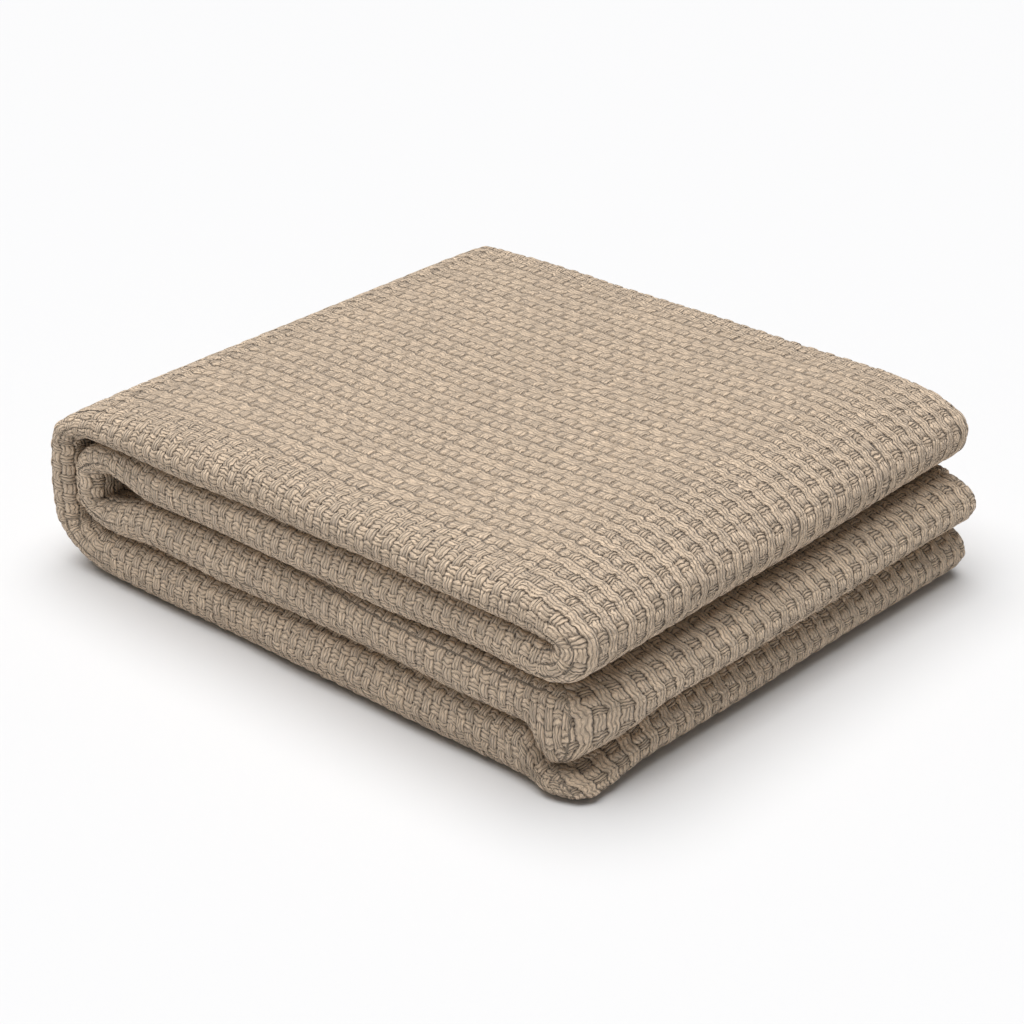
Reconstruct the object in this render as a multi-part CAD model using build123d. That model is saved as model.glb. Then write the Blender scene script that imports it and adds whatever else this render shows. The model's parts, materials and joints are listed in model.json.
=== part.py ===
from build123d import *
import os

# Folded throw blanket, millimetres, +Z up.
# One woven cotton throw, 1500 x 1300 mm, quartered across its width into a strip of four plies,
# and the strip quartered along its length into four layers lying on each other.
# X runs along the strip, from the closed fold at -X to the open ends at +X.
# Y runs across the strip: the closed lengthwise fold is at -Y, the two long hems are at +Y.
# The origin is at the centre of the underside.

# ---- the throw when it is spread out ----
throw_length = 1500.0
throw_width = 1300.0

# ---- the folded stack ----
length = throw_length / 4
width = throw_width / 4
bottom_thick = 30.0
third_thick = 28.0
second_thick = 22.6
top_thick = 24.0
body_gap = 0.4  # between the lower two layers and the upper two, which lift off them
height = bottom_thick + third_thick + body_gap + second_thick + top_thick

bottom_z = 0.0
third_z = bottom_z + bottom_thick
second_z = third_z + third_thick + body_gap
top_z = second_z + second_thick

left_x = -length / 2
right_x = length / 2
front_y = -width / 2
back_y = width / 2

# ---- the closed fold at -X: an outer and an inner turn, nested ----
bend_radius = 30.0  # outer corners of the outer turn
hinge_x = left_x + bend_radius
lower_hinge_z = bend_radius
upper_hinge_z = height - bend_radius
outer_wall_thick = 15.0
inner_wall_thick = 14.0
wall_gap = 0.8  # between the outer and the inner turn
end_clearance = 0.2  # where a wall's end meets a layer's end once the fold lies open
inner_wall_x = left_x + outer_wall_thick + wall_gap
inner_bend_radius = 17.8
inner_bend_x = inner_wall_x + inner_bend_radius  # the inner turn's corner arcs are centred here
inner_layer_x = inner_bend_x + 9.0  # where the flat second and third layers begin
pocket_x = inner_layer_x + 25.0  # the wedge of air inside the inner turn ends here
pocket_half_height = 8.0
inner_low_z = third_z + inner_bend_radius
inner_high_z = top_z - inner_bend_radius

# ---- the ends at +X ----
fold_depth = 25.0  # the turn that joins the top and second layers
fold_recess = 2.0  # it stands this far back from the ends below it
end_hem_depth = 24.0  # short hem, turned under, that closes each strip end

# ---- long hems at +Y ----
hem_depth = 19.0
hem_recess = 3.0
thread_channel = 2.4
thread_width = 1.2
ply_clearance = 0.2

# ---- rounding ----
plan_radius = 12.0
edge_margin = 0.3  # keeps a full-round edge from closing to a zero-width flat

# ---- blank care label, sewn into the third layer's hem ----
label_width = 32.0
label_thick = 0.8
label_x = 95.0
label_low_z = 17.0
label_high_z = 38.0


def block(x0, x1, y0, y1, z0, z1):
    """Box between two corners."""
    centre = ((x0 + x1) / 2, (y0 + y1) / 2, (z0 + z1) / 2)
    return Pos(*centre) * Box(x1 - x0, y1 - y0, z1 - z0)


def across_profile(x0, x1, z0, z1, radius):
    """Solid whose section across the strip is a rectangle with rounded corners."""
    profile = Plane.YZ * RectangleRounded(width, z1 - z0, radius)
    return Pos(x0, 0, (z0 + z1) / 2) * extrude(profile, x1 - x0)


def plan_profile(z0, z1):
    """The stack's outline seen from above, with rounded corners."""
    return Pos(0, 0, z0) * extrude(RectangleRounded(length, width, plan_radius), z1 - z0)


def side_solid(wire_edges):
    """Solid as wide as the strip, from a closed outline in the XZ plane."""
    face = make_face(wire_edges)
    return Pos(0, back_y, 0) * extrude(face, width, dir=(0, -1, 0))


def xz_line(*points):
    return Polyline(*[(x, 0, z) for x, z in points])


def hem_half(z0, z1, hems_on_top):
    """The half of a layer's thickness that ends in hems at the back."""
    middle = (z0 + z1) / 2
    return (middle, z1) if hems_on_top else (z0, middle)


def layer(x0, x1, z0, z1, hems_on_top):
    """Four plies: round at the closed front fold, and cut back at the back for the two hems."""
    slab = across_profile(x0, x1, z0, z1, (z1 - z0) / 2 - edge_margin)
    low, high = hem_half(z0, z1, hems_on_top)
    cut_y = back_y - hem_recess - hem_depth - thread_channel
    return slab - block(x0 - 1, x1 + 1, cut_y, back_y + 1, low, high)


def edge_hems(x0, x1, z0, z1, hems_on_top):
    """Two turned-over long hems, one for each cut edge of the throw, lying on each other."""
    low, high = hem_half(z0, z1, hems_on_top)
    middle = (low + high) / 2
    y0 = back_y - hem_recess - hem_depth
    y1 = back_y - hem_recess
    bars = []
    for z_low, z_high in ((low, middle), (middle, high)):
        bar = block(x0, x1, y0, y1, z_low + ply_clearance, z_high - ply_clearance)
        outer_edges = bar.edges().filter_by(Axis.X).group_by(Axis.Y)[-1]
        bars.append(fillet(outer_edges, (z_high - z_low) / 2 - 2 * ply_clearance))
    return bars


def hem_threads(x0, x1, z0, z1, hems_on_top):
    """The sewing thread that holds each long hem down, in the channel behind the hem."""
    low, high = hem_half(z0, z1, hems_on_top)
    middle = (low + high) / 2
    y_centre = back_y - hem_recess - hem_depth - thread_channel / 2
    threads = []
    for z_centre in ((low + middle) / 2, (middle + high) / 2):
        half = thread_width / 2
        thread = block(x0, x1, y_centre - half, y_centre + half, z_centre - half, z_centre + half)
        threads.append(thread)
    return threads


def nose(x0, x1, z0, z1, front_radius):
    """A rounded end: half-round seen from the front, round at the front and back edges."""
    half_height = (z1 - z0) / 2
    depth = x1 - x0
    round_radius = min(depth, half_height) - edge_margin
    outline = RectangleRounded(2 * depth, z1 - z0, round_radius)
    body = extrude(Plane.XZ * outline, width / 2, both=True)
    body = Pos(x0, 0, z0 + half_height) * body
    keep = across_profile(x0, x1, z0, z1, front_radius)
    return body & keep & plan_profile(z0, z1)


def outer_bend(is_lower):
    """Quarter turn between a layer and the outer wall, centred on the hinge line."""
    if is_lower:
        hinge_z, side = lower_hinge_z, -1
        inner_points = ((hinge_x, bottom_z), (hinge_x, third_z), (left_x, third_z))
    else:
        hinge_z, side = upper_hinge_z, 1
        wall_inner_x = left_x + outer_wall_thick
        inner_points = ((hinge_x, height), (hinge_x, top_z + ply_clearance),
                        (wall_inner_x, hinge_z), (left_x, hinge_z))
    middle = bend_radius * 0.5**0.5
    arc = ThreePointArc((left_x, 0, hinge_z), (hinge_x - middle, 0, hinge_z + side * middle),
                        (hinge_x, 0, hinge_z + side * bend_radius))
    return side_solid([arc, *xz_line(*inner_points).edges()])


def inner_bend(is_lower):
    """Quarter turn between the second or third layer and the inner wall."""
    if is_lower:
        centre_z, side, flat_z = inner_low_z, -1, third_z + ply_clearance
        pocket_z = third_z + third_thick - pocket_half_height
    else:
        centre_z, side, flat_z = inner_high_z, 1, top_z - ply_clearance
        pocket_z = second_z + pocket_half_height
    radius = abs(centre_z - flat_z)
    middle = radius * 0.5**0.5
    centre_x = inner_wall_x + radius
    arc = ThreePointArc((inner_wall_x, 0, centre_z),
                        (centre_x - middle, 0, centre_z + side * middle),
                        (centre_x, 0, flat_z))
    rest = xz_line((centre_x, flat_z), (inner_layer_x, flat_z), (inner_layer_x, pocket_z),
                   (inner_wall_x + inner_wall_thick, centre_z), (inner_wall_x, centre_z))
    return side_solid([arc, *rest.edges()])


def pocket_cut():
    """The wedge of air between the second and third layers, just inside the inner turn."""
    middle_z = third_z + third_thick
    points = ((pocket_x, middle_z), (inner_layer_x - 1, middle_z - pocket_half_height),
              (inner_layer_x - 1, second_z + pocket_half_height), (pocket_x, second_z),
              (pocket_x, middle_z))
    return side_solid(xz_line(*points).edges())


def make_layers():
    """The four flat layers of the strip, between their turns."""
    layer_start = hinge_x + end_clearance
    end_x = right_x - end_hem_depth
    fold_x = right_x - fold_recess - fold_depth
    pocket = pocket_cut()
    return {
        "bottom_layer": layer(layer_start, end_x, bottom_z, third_z, True),
        "third_layer": layer(inner_layer_x, end_x, third_z, third_z + third_thick, False) - pocket,
        "second_layer": layer(inner_layer_x, fold_x, second_z, top_z, True) - pocket,
        "top_layer": layer(layer_start, fold_x, top_z, height, False),
    }


def make_turns():
    """The closed fold at -X and the turn that joins the top and second layers at +X."""
    fold_end = right_x - fold_recess
    outer_wall = block(left_x, left_x + outer_wall_thick, front_y, back_y,
                       lower_hinge_z + end_clearance, upper_hinge_z - end_clearance)
    inner_wall = block(inner_wall_x, inner_wall_x + inner_wall_thick, front_y, back_y,
                       inner_low_z + end_clearance, inner_high_z - end_clearance)
    return {
        "outer_wall": outer_wall & plan_profile(bottom_z, height),
        "inner_wall": inner_wall,
        "lower_outer_bend": outer_bend(True) & plan_profile(bottom_z, height),
        "upper_outer_bend": outer_bend(False) & plan_profile(bottom_z, height),
        "lower_inner_bend": inner_bend(True),
        "upper_inner_bend": inner_bend(False),
        "right_fold": nose(fold_end - fold_depth, fold_end, second_z, height, plan_radius),
    }


def make_end_hems():
    """The throw's two short hems, turned under so that the strip ends in a round edge."""
    x0 = right_x - end_hem_depth
    bottom_radius = bottom_thick / 2 - edge_margin
    third_radius = third_thick / 2 - edge_margin
    third_top = third_z + third_thick
    return {
        "bottom_end_hem": nose(x0, right_x, bottom_z, third_z, bottom_radius),
        "third_end_hem": nose(x0, right_x, third_z, third_top, third_radius),
    }


def make_edge_hems():
    """The long hems and their thread, layer by layer; threads are grouped by moving body."""
    layer_start = hinge_x + end_clearance
    end_x = right_x - end_hem_depth
    fold_x = right_x - fold_recess - fold_depth
    spans = {
        "bottom": (layer_start, end_x, bottom_z, third_z, True),
        "third": (inner_layer_x, end_x, third_z, third_z + third_thick, False),
        "second": (inner_layer_x, fold_x, second_z, top_z, True),
        "top": (layer_start, fold_x, top_z, height, False),
    }
    parts = {f"{name}_edge_hems": Compound(children=edge_hems(*span)) for name, span in spans.items()}
    lower = hem_threads(*spans["bottom"]) + hem_threads(*spans["third"])
    upper = hem_threads(*spans["second"]) + hem_threads(*spans["top"])
    parts["lower_hem_thread"] = Compound(children=lower)
    parts["upper_hem_thread"] = Compound(children=upper)
    return parts


def make_label():
    """Blank woven care label, hanging from the third layer's hem at the back."""
    y1 = back_y - hem_recess + ply_clearance + label_thick
    tag = block(label_x - label_width / 2, label_x + label_width / 2,
                y1 - label_thick, y1, label_low_z, label_high_z)
    return {"care_label": tag}


def main():
    os.makedirs("parts", exist_ok=True)
    parts = {}
    for make in (make_layers, make_turns, make_end_hems, make_edge_hems, make_label):
        parts.update(make())
    for name, shape in parts.items():
        export_step(shape, f"parts/{name}.step")
    print(f"{len(parts)} parts, stack {length:.1f} x {width:.1f} x {height:.1f} mm")


main()
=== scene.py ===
import json
import math

import bmesh
import bpy
import numpy as np
from bpy.props import FloatProperty, FloatVectorProperty, IntProperty, PointerProperty
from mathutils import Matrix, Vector


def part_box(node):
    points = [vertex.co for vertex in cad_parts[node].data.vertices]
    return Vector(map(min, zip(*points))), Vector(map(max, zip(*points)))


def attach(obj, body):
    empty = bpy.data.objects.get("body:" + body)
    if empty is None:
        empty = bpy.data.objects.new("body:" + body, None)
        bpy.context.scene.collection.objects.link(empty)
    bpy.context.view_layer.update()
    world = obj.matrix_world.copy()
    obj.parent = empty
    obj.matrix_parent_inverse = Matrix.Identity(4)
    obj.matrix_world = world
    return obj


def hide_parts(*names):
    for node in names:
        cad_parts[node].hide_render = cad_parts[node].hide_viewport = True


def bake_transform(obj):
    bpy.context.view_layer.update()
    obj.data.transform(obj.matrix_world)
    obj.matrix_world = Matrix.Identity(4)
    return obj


bl_info = {
    "name": "Folded throw blanket",
    "version": (1, 0, 0),
    "blender": (4, 5, 0),
    "location": "3D View > Sidebar > Throw",
    "description": "Builds a chunky basket-weave throw folded into a four-layer stack",
    "category": "Add Mesh",
}

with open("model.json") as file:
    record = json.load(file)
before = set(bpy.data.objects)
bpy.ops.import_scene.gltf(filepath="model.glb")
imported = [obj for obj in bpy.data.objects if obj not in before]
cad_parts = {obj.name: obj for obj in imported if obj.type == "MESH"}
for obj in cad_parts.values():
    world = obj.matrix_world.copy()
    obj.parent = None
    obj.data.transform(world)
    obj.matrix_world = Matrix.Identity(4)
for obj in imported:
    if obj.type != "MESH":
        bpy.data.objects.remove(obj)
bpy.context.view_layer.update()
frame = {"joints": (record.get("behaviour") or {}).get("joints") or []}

# ---- places taken from the frame, in metres ----
# The strip is followed from the bottom layer's free end, round the closed fold, over the top,
# round the right fold and back through the inner turn to the third layer's free end.
# Each layer has a roll side (the throw's lengthwise fold shows there at the back) and a hem side.


def low(node):
    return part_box(node)[0]


def high(node):
    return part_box(node)[1]


front_y = low("inner_wall").y
back_y = high("inner_wall").y
left_x = low("outer_wall").x
right_x = high("bottom_end_hem").x
wall_inner_x = high("outer_wall").x
fold_x = high("top_layer").x
fold_end_x = high("right_fold").x
hem_x = high("bottom_layer").x
top_z = high("top_layer").z
slit_z = low("top_layer").z
second_z = low("second_layer").z
third_top_z = high("third_layer").z
third_z = low("third_layer").z
hinge_x = frame["joints"][0]["pos_m"][0]
lower_hinge_z = frame["joints"][0]["pos_m"][2]
upper_hinge_z = frame["joints"][1]["pos_m"][2]
inner_wall_x = low("inner_wall").x
inner_face_x = high("inner_wall").x
inner_layer_x = high("lower_inner_bend").x
inner_low_z = low("inner_wall").z
inner_high_z = high("inner_wall").z
edge_hem_y = low("top_edge_hems").y
edge_hem_end_y = high("top_edge_hems").y

pocket_length = 0.025
pocket_rise = 0.008
thread_channel = 0.0024
throw_width = 1.3
end_hem_cloth = 0.062
above_floor = 0.0003


class ThrowWeave(bpy.types.PropertyGroup):
    """Sizes of the basket weave."""

    cell_along: FloatProperty(
        name="Cell along the strip", description="Two warp bundles, side by side",
        default=0.01154, min=0.004, unit="LENGTH")
    cell_across: FloatProperty(
        name="Cell across the strip", description="Two weft bundles, side by side",
        default=0.01354, min=0.004, unit="LENGTH")
    flat_relief: FloatProperty(
        name="Relief on flat cloth", description="Height of a bundle where the cloth lies flat",
        default=0.00060, min=0.0, unit="LENGTH")
    roll_relief: FloatProperty(
        name="Relief on rolls", description="Height of a bundle where the cloth is bent",
        default=0.00105, min=0.0, unit="LENGTH")
    ply_gap: FloatProperty(
        name="Gap between plies", description="Air between the plies of one layer",
        default=0.0005, min=0.0, unit="LENGTH")
    seed: IntProperty(
        name="Seed", description="Chooses the small unevenness of the yarns", default=7, min=1)


class ThrowDrape(bpy.types.PropertyGroup):
    """How the stack has settled."""

    shoulder_length: FloatProperty(
        name="Shoulder length", description="How far in from the right fold the top starts to drop",
        default=0.075, min=0.0, unit="LENGTH")
    front_drop: FloatProperty(
        name="Front drop", description="How much the top sinks towards its front edge",
        default=0.0030, min=0.0, unit="LENGTH")
    back_drop: FloatProperty(
        name="Back drop", description="How much the top sinks towards its back edge",
        default=0.0035, min=0.0, unit="LENGTH")
    corner_droop: FloatProperty(
        name="Corner droop", description="How far the third layer's front corner hangs",
        default=0.019, min=0.0, unit="LENGTH")
    corner_pull: FloatProperty(
        name="Corner pull", description="How far the third layer's front corner is drawn in",
        default=0.011, min=0.0, unit="LENGTH")
    left_bulge: FloatProperty(
        name="Closed fold's bulge", description="How far the closed fold stands out",
        default=0.012, min=0.0, unit="LENGTH")
    left_drop: FloatProperty(
        name="Closed fold's drop", description="How much the top sinks towards the closed fold",
        default=0.0065, min=0.0, unit="LENGTH")
    end_slip: FloatProperty(
        name="Ends out of line", description="Lower ends stand out and the upper fold in by this",
        default=0.004, min=0.0, unit="LENGTH")
    unevenness: FloatProperty(
        name="Unevenness", description="Soft waves of the whole stack",
        default=0.0007, min=0.0, unit="LENGTH")


class ThrowColours(bpy.types.PropertyGroup):
    """Colours of the yarns, the painted shade between bundles, thread and label."""

    yarn: FloatVectorProperty(
        name="Yarn", description="Cotton yarn where light reaches it",
        subtype="COLOR", size=3, default=(0.86, 0.675, 0.50), min=0.0, max=1.0)
    # Painted shade: a dark yarn colour mixed in where the weave sinks between bundles, standing in for
    # the shade there.
    crevice_shade: FloatVectorProperty(
        name="Crevice shade", description="Yarn deep between two bundles",
        subtype="COLOR", size=3, default=(0.085, 0.052, 0.029), min=0.0, max=1.0)
    thread: FloatVectorProperty(
        name="Thread", description="Sewing thread in the hems",
        subtype="COLOR", size=3, default=(0.66, 0.57, 0.46), min=0.0, max=1.0)
    ribbon: FloatVectorProperty(
        name="Label", description="Blank care label",
        subtype="COLOR", size=3, default=(0.76, 0.73, 0.67), min=0.0, max=1.0)


# ---- one rule for meshes and materials ----


class Wire:
    """A number carried between shader nodes. Sums and products of wires add Math nodes."""

    def __init__(self, tree, socket):
        self.tree = tree
        self.socket = socket

    def math(self, operation, *values):
        node = self.tree.nodes.new("ShaderNodeMath")
        node.operation = operation
        for place, value in enumerate((self, *values)):
            put(self.tree, value, node.inputs[place])
        return Wire(self.tree, node.outputs[0])

    def __add__(self, other):
        return self.math("ADD", other)

    def __radd__(self, other):
        return self.math("ADD", other)

    def __mul__(self, other):
        return self.math("MULTIPLY", other)

    def __rmul__(self, other):
        return self.math("MULTIPLY", other)

    def __sub__(self, other):
        return self.math("SUBTRACT", other)

    def __rsub__(self, other):
        return (self * -1.0) + other


def put(tree, value, socket):
    """Feeds a wire, a socket or a plain number into a socket."""
    if isinstance(value, Wire):
        tree.links.new(value.socket, socket)
    elif isinstance(value, bpy.types.NodeSocket):
        tree.links.new(value, socket)
    else:
        socket.default_value = value


def floor(x):
    return x.math("FLOOR") if isinstance(x, Wire) else np.floor(x)


def sine(x):
    return x.math("SINE") if isinstance(x, Wire) else np.sin(x)


def size_of(x):
    return x.math("ABSOLUTE") if isinstance(x, Wire) else np.abs(x)


def power(x, exponent):
    return x.math("POWER", exponent) if isinstance(x, Wire) else np.power(x, exponent)


def higher(a, b):
    return a.math("MAXIMUM", b) if isinstance(a, Wire) else np.maximum(a, b)


def smooth(x, start, end):
    """0 before start, 1 after end, eased in between."""
    if not isinstance(x, Wire):
        t = np.clip((x - start) / (end - start), 0.0, 1.0)
        return t * t * (3.0 - 2.0 * t)
    node = x.tree.nodes.new("ShaderNodeMapRange")
    node.interpolation_type = "SMOOTHSTEP"
    put(x.tree, x, node.inputs["Value"])
    node.inputs["From Min"].default_value = start
    node.inputs["From Max"].default_value = end
    return Wire(x.tree, node.outputs["Result"])


def arch(x, exponent):
    """0 at whole numbers, 1 halfway between them."""
    return power(size_of(sine(x * math.pi)), exponent)


def strand_round(across):
    """Three round strands across a bundle."""
    return power(size_of(sine(across * 3.0 * math.pi + math.pi / 2)), 0.6)


def basket(u, v, lift, calm, strands):
    """Two-and-two basket weave at u, v, counted in cells.

    lift raises the warp over the weft, as on a front roll, and lowers it when negative.
    calm is 1 on cloth that lies flat. Where it is calm or lowered, every second row of weft
    stays on top, tucked under once a cell, and on flat cloth the blocks between leave a
    hook-shaped gap on two sides.
    Returns the height, the weft's and the warp's own height, and the bundle's column and row."""
    v = v + sine(u * 2.0 * math.pi) * 0.045
    u = u + sine(v * 2.0 * math.pi) * 0.03
    column = floor(u * 2.0)
    row = floor(v * 2.0)
    across_warp = u * 2.0 - column - 0.5
    across_weft = v * 2.0 - row - 0.5
    half_sum = (column + row) * 0.5
    over = 1.0 - (half_sum - floor(half_sum)) * 4.0
    odd_row = (row * 0.5 - floor(row * 0.5)) * 2.0
    long_weft = higher(calm, lift * -1.0) * odd_row
    weft_arch = arch(across_warp + 0.5, 0.6)
    warp_arch = arch(across_weft + 0.5, 0.6)
    float_arch = arch(u + 0.25, 0.4)
    weft_edge = power(size_of(across_weft * 2.0), 5.0)
    warp_edge = power(size_of(across_warp * 2.0), 5.0)
    weft_swing = over * weft_arch * 0.6
    weft = weft_swing + (float_arch * 0.9 - 0.35 - weft_swing) * long_weft * 0.9
    strands = strands * (1.0 - calm * 0.45)
    sunk = higher(lift * -1.0, 0.0) * (0.15 - odd_row * 0.22)
    weft = weft + strand_round(across_weft) * strands - weft_edge * 0.45 - lift * 0.3 - sunk
    warp = over * warp_arch * -0.6 + strand_round(across_warp) * strands - warp_edge * 0.45 + lift * 0.3
    warp = warp - long_weft * 0.5 - sunk
    gap_beside = smooth(across_warp * -1.0, 0.16, 0.42)
    gap_under = smooth(across_weft * -1.0, 0.16, 0.44) * 0.9
    hook = higher(gap_beside, gap_under) * (over + 1.0) * 0.5
    row_line = smooth(across_weft * -1.0, 0.36, 0.5) * 0.6
    gaps = higher(hook, row_line) * calm * (1.0 - odd_row) * 0.95
    return higher(weft, warp) - gaps, weft, warp, column, row


def uneven(column, row, seed):
    """A different number from 0 to 1 for each bundle."""
    mixed = np.sin(column * 12.9898 + row * 78.233 + seed * 3.7) * 43758.5453
    return mixed - np.floor(mixed)


# ---- the strip's path, seen from the front ----


def line(*points):
    """A path through points, by share of its length."""
    corners = np.array(points, float)
    steps = np.linalg.norm(np.diff(corners, axis=0), axis=1)
    marks = np.concatenate([[0.0], np.cumsum(steps)]) / max(steps.sum(), 1e-9)

    def path(q):
        x = np.interp(q, marks, corners[:, 0])
        z = np.interp(q, marks, corners[:, 1])
        return np.stack([x, z], -1)

    return path


def arc(centre, reach_x, reach_z, first_turn, last_turn):
    """Part of an ellipse. A turn of 0 points to +X and 90 points up."""

    def path(q):
        turn = np.radians(first_turn + (last_turn - first_turn) * q)
        return np.stack([centre[0] + reach_x * np.cos(turn), centre[1] + reach_z * np.sin(turn)], -1)

    return path


def joined(first, second, share):
    """Two paths one after the other. The first takes that share."""

    def path(q):
        early = first(np.clip(q / share, 0.0, 1.0))
        late = second(np.clip((q - share) / (1.0 - share), 0.0, 1.0))
        return np.where((q < share)[:, None], early, late)

    return path


def rounding(x, start, end, sharpness):
    """1 before start, falling to 0 at end along a superellipse."""
    way = np.clip((x - start) / (end - start), 0.0, 1.0)
    return np.power(1.0 - np.power(way, sharpness), 1.0 / 2.1)


nose_middle_z = (second_z + top_z) / 2


def shoulder(x):
    """Height of the top's roll side over x: flat, then a broad fall to the right fold."""
    start = fold_end_x - throw_drape().shoulder_length
    return nose_middle_z + (top_z - nose_middle_z) * rounding(x, start, fold_end_x, 2.5)


def belly(x):
    """Height of the second layer's roll side over x."""
    start = fold_end_x - 0.034
    return nose_middle_z - (nose_middle_z - second_z) * rounding(x, start, fold_end_x, 2.3)


def top_face(q):
    x = hinge_x + (fold_x - hinge_x) * q
    return np.stack([x, shoulder(x)], -1)


def fold_face(q):
    x = fold_x + (fold_end_x - fold_x) * np.sin(q * math.pi)
    return np.stack([x, np.where(q < 0.5, shoulder(x), belly(x))], -1)


def second_face(q):
    x = fold_x + (inner_layer_x - fold_x) * q
    rise = pocket_rise * np.clip((inner_layer_x + pocket_length - x) / pocket_length, 0, 1)
    return np.stack([x, belly(x) + rise], -1)


def make_spans():
    """Each span of the strip in order: (name, roll side, hem side)."""
    upper_hinge = (hinge_x, upper_hinge_z)
    lower_hinge = (hinge_x, lower_hinge_z)
    turn = hinge_x - left_x
    inner_turn = slit_z - inner_high_z
    inner_centre_x = inner_wall_x + inner_turn
    upper_inner = (inner_centre_x, inner_high_z)
    lower_inner = (inner_centre_x, inner_low_z)
    eye_x = fold_x + 0.004
    outer = [
        ("bottom_layer", line((hem_x, 0), (hinge_x, 0)), line((hem_x, third_z), (hinge_x, third_z))),
        ("lower_outer_bend", arc(lower_hinge, turn, turn, 270, 180),
         line((hinge_x, third_z), (wall_inner_x, third_z))),
        ("outer_wall", line((left_x, lower_hinge_z), (left_x, upper_hinge_z)),
         line((wall_inner_x, lower_hinge_z), (wall_inner_x, upper_hinge_z))),
        ("upper_outer_bend", arc(upper_hinge, turn, turn, 180, 90),
         arc(upper_hinge, hinge_x - wall_inner_x, slit_z - upper_hinge_z, 180, 90)),
        ("top_layer", top_face, line((hinge_x, slit_z), (fold_x, slit_z))),
        ("right_fold", fold_face, line((fold_x, slit_z), (eye_x, slit_z), (fold_x, slit_z))),
    ]
    inner = [
        ("second_layer", second_face, line((fold_x, slit_z), (inner_layer_x, slit_z))),
        ("upper_inner_bend",
         line((inner_layer_x, second_z + pocket_rise), (inner_face_x, inner_high_z)),
         joined(line((inner_layer_x, slit_z), (inner_centre_x, slit_z)),
                arc(upper_inner, inner_turn, inner_turn, 90, 180), 0.25)),
        ("inner_wall", line((inner_face_x, inner_high_z), (inner_face_x, inner_low_z)),
         line((inner_wall_x, inner_high_z), (inner_wall_x, inner_low_z))),
        ("lower_inner_bend",
         line((inner_face_x, inner_low_z), (inner_layer_x, third_top_z - pocket_rise)),
         joined(arc(lower_inner, inner_turn, inner_low_z - third_z, 180, 270),
                line((inner_centre_x, third_z), (inner_layer_x, third_z)), 0.75)),
        ("third_layer",
         line((inner_layer_x, third_top_z - pocket_rise),
              (inner_layer_x + pocket_length, third_top_z), (hem_x, third_top_z)),
         line((inner_layer_x, third_z), (hem_x, third_z))),
    ]
    return outer + inner


def throw_weave():
    return bpy.context.scene.throw_weave


def throw_drape():
    return bpy.context.scene.throw_drape


def throw_colours():
    return bpy.context.scene.throw_colours


class Strip:
    """The whole folded strip. A place along it is a number: span 0 runs from 0 to 1, and so on."""

    def __init__(self):
        self.spans = make_spans()
        self.names = [name for name, _, _ in self.spans]
        self.marks = np.linspace(0.0, len(self.spans), len(self.spans) * 240 + 1)
        roll, hem = self.faces(self.marks)
        roll_steps = np.linalg.norm(np.diff(roll, axis=0), axis=1)
        hem_steps = np.linalg.norm(np.diff(hem, axis=0), axis=1)
        steps = np.maximum(roll_steps, hem_steps)
        self.lengths = np.concatenate([[0.0], np.cumsum(steps)])

    def faces(self, places):
        """(roll side, hem side) as x, z at each place."""
        roll = np.zeros((len(places), 2))
        hem = np.zeros((len(places), 2))
        which = np.clip(np.floor(places - 1e-9), 0, len(self.spans) - 1).astype(int)
        for index, (_, roll_path, hem_path) in enumerate(self.spans):
            chosen = which == index
            if chosen.any():
                share = np.clip(places[chosen] - index, 0.0, 1.0)
                roll[chosen] = roll_path(share)
                hem[chosen] = hem_path(share)
        return roll, hem

    def cloth(self, places):
        """Length of cloth from the strip's free end."""
        return np.interp(places, self.marks, self.lengths)

    def stations(self, name, step):
        """Places along one span a step apart, with one more place past each end."""
        index = self.names.index(name)
        start, end = self.cloth(np.array([index, index + 1.0]))
        count = max(4, round((end - start) / step))
        lengths = np.linspace(start, end, count + 1)
        inside = np.interp(lengths, self.lengths, self.marks)
        inside[0] = index
        inside[-1] = index + 1
        before = index - 0.01
        after = index + 1.01
        return np.concatenate([[before], inside, [after]])


# ---- the strip's section, four plies of the folded throw ----


class Section:
    """Points round a section. y and v (cloth round the section) depend on two radii:
    the front roll's, half the layer's thickness, and the back roll's, a quarter of it."""

    def __init__(self):
        self.rows = []

    def run(self, y, w, v, relief, lift=0.0):
        """y and v are (constant, times front radius, times back radius), each number or array."""
        count = max(np.size(part) for part in (*y, w, *v, relief, lift))
        columns = [np.broadcast_to(np.asarray(part, float), count)
                   for part in (*y, w, *v, relief, lift)]
        self.rows.append(np.stack(columns, -1))

    def table(self):
        return np.concatenate(self.rows)


def spaced(start, end, count, last=False):
    return np.linspace(start, end, count, endpoint=last)


def add_roll_side(section, count):
    """The broad outer face, from the back roll to the front roll."""
    way = spaced(0.0, 1.0, count)
    y = ((1 - way) * back_y + way * front_y, way, way - 1)
    near_front = smooth(way, 0.955, 1.0)
    section.run(y, 1.0, y, 1.0, near_front * 0.25)


def add_front_roll(section, count):
    """Round the front fold, from the roll side to the hem side."""
    turn = spaced(0.0, math.pi, count)
    ends = smooth(turn, 0.0, 0.5) * smooth(math.pi - turn, 0.0, 0.5)
    y = (front_y, 1 - np.sin(turn), 0)
    v = (front_y, 1 - turn, 0)
    section.run(y, np.cos(turn), v, 1.0, 0.25 + ends * 0.15)


def add_hem_side(section, hem_y, count):
    """The other broad face, which lies on a neighbour."""
    way = spaced(0.0, 1.0, count)
    y = ((1 - way) * front_y + way * hem_y, 1 - way, -0.5 * way)
    v = (2 * front_y - y[0], 2 - math.pi - y[1], 0.5 * way)
    fade = smooth(1 - way, 0.9, 1.0)
    section.run(y, -1.0, v, fade)


def add_ply_end(section, hem_y, middle, half, relief):
    """The rounded end of one ply at the back."""
    turn = spaced(0.0, math.pi, 7)
    y = (hem_y, 0, 0.5 * np.sin(turn) - 0.5)
    v = (hem_y, 0, 0.5 * turn)
    section.run(y, middle - half * np.cos(turn), v, relief)


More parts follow.
